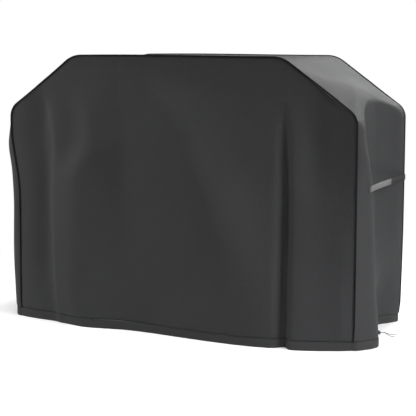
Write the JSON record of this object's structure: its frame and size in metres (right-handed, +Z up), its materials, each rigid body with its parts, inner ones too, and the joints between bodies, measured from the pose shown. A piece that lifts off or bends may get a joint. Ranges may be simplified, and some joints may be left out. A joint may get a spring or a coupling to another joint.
{
  "type": "grill cover",
  "caption": "Fitted charcoal fabric cover for a cart grill, with sloped shoulders, piped seams, a drawstring hem and a cinch strap on each side.",
  "frame": {"origin": "on the ground, at the middle of the cover's outline", "axes": "+X along the front to the right, +Y to the back, +Z up"},
  "size_m": [1.7833, 0.8274, 1.2],
  "materials": {
    "cover_cloth": "coated woven polyester, matt charcoal",
    "hem_cloth": "the same cloth, folded double",
    "piping": "black covered piping",
    "seam_tape": "black binding tape",
    "cord": "braided polyester cord, mid grey",
    "eyelet_metal": "black painted steel",
    "lock_plastic": "moulded black plastic",
    "spring_steel": "bright spring wire",
    "strap_light": "mid grey webbing",
    "strap_dark": "charcoal webbing",
    "hook_pile": "black hook tape",
    "loop_pile": "black loop tape"
  },
  "bodies": {
    "cover": {"front_panel": "cover_cloth", "back_panel": "cover_cloth", "side_top_strip": "cover_cloth", "front_piping": "piping", "back_piping": "piping", "front_seam_tape": "seam_tape", "back_seam_tape": "seam_tape", "hem_band": "hem_cloth", "hem_drawstring": "cord", "drawstring_end_back": "cord", "drawstring_end_front": "cord", "eyelet": "eyelet_metal", "eyelet_washer": "eyelet_metal", "right_strap_anchor": "strap_dark", "right_strap_receiver": "strap_dark", "right_loop_tape": "loop_pile", "left_strap_anchor": "strap_dark", "left_strap_receiver": "strap_dark", "left_loop_tape": "loop_pile"},
    "right_tongue": {"right_strap_tongue": "strap_light", "right_hook_tape": "hook_pile"},
    "left_tongue": {"left_strap_tongue": "strap_light", "left_hook_tape": "hook_pile"},
    "cord_lock": {"cord_lock_body": "lock_plastic", "cord_lock_spring": "spring_steel"},
    "lock_plunger": {"cord_lock_plunger": "lock_plastic"}
  },
  "joints": [
    {"name": "right_strap_peel", "type": "hinge", "parent": "cover", "child": "right_tongue", "pos_m": [0.84865, -0.19997, 0.67], "axis": [0, 0, -1], "range_deg": [0, 135]},
    {"name": "left_strap_peel", "type": "hinge", "parent": "cover", "child": "left_tongue", "pos_m": [-0.84865, -0.19997, 0.67], "axis": [0, 0, 1], "range_deg": [0, 135]},
    {"name": "cord_lock_slide", "type": "slide", "parent": "cover", "child": "cord_lock", "axis": [0.9342, 0.3566, 0], "range_m": [-0.01, 0.012]},
    {"name": "lock_button", "type": "slide", "parent": "cord_lock", "child": "lock_plunger", "axis": [0.3566, -0.9342, 0], "range_m": [0, 0.003], "stiffness_N_per_m": 600, "springref_m": -0.002, "deforming": ["cord_lock_spring"]}
  ]
}
